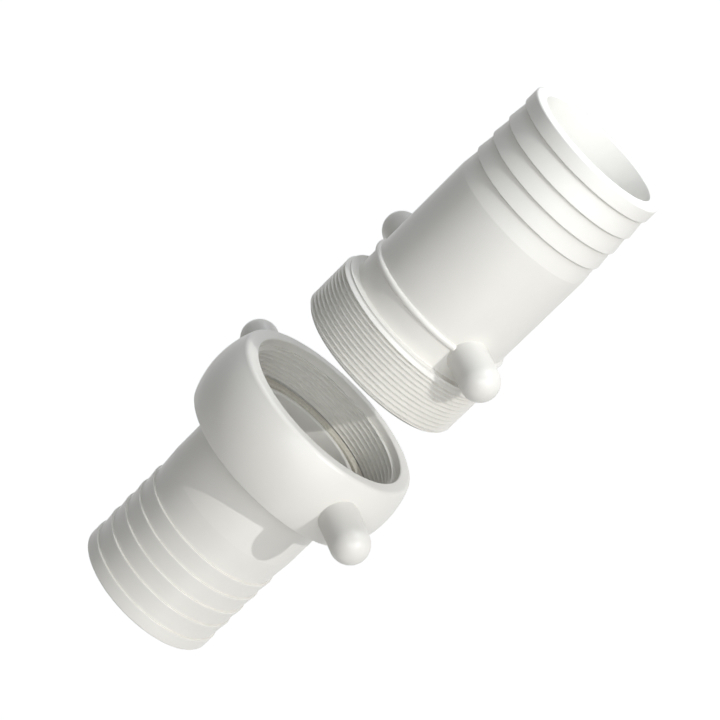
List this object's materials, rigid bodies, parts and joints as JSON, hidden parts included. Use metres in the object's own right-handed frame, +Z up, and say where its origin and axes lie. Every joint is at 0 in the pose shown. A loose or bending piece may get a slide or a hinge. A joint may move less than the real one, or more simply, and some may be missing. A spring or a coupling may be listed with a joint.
{
  "type": "lugged hose coupling",
  "caption": "Straight coupling for large water hose: barbed tail with lugged swivel nut and washer, and barbed tail with lugs and a parallel pipe thread, shown apart on one axis.",
  "frame": {"origin": "centre of the nut-side hose tail's open end, on the water way's axis", "axes": "+X along the water way from the nut-side hose end to the threaded half's hose end; the lugs point along +Y and -Y; +Z up"},
  "size_m": [0.3069, 0.1628, 0.11],
  "materials": {
    "pale_plastic": "satin moulded, warm pale grey",
    "washer_rubber": "matte beige, finely textured"
  },
  "bodies": {
    "female_half": {"female_hose_tail": "pale_plastic", "sealing_washer": "washer_rubber"},
    "nut": {"swivel_nut": "pale_plastic"},
    "male_half": {"male_hose_tail": "pale_plastic"}
  },
  "joints": [
    {"name": "nut_spin", "type": "hinge", "parent": "female_half", "child": "nut", "pos_m": [0.11095, 0, 0], "axis": [1, 0, 0], "range_deg": [0, 8247]},
    {"name": "male_slide", "type": "slide", "parent": "female_half", "child": "male_half", "axis": [-1, 0, 0], "range_m": [0, 0.0529]}
  ],
  "couplings": [
    {"joint": "male_slide", "follows": "nut_spin", "m_per_rad": 0.00036749}
  ]
}
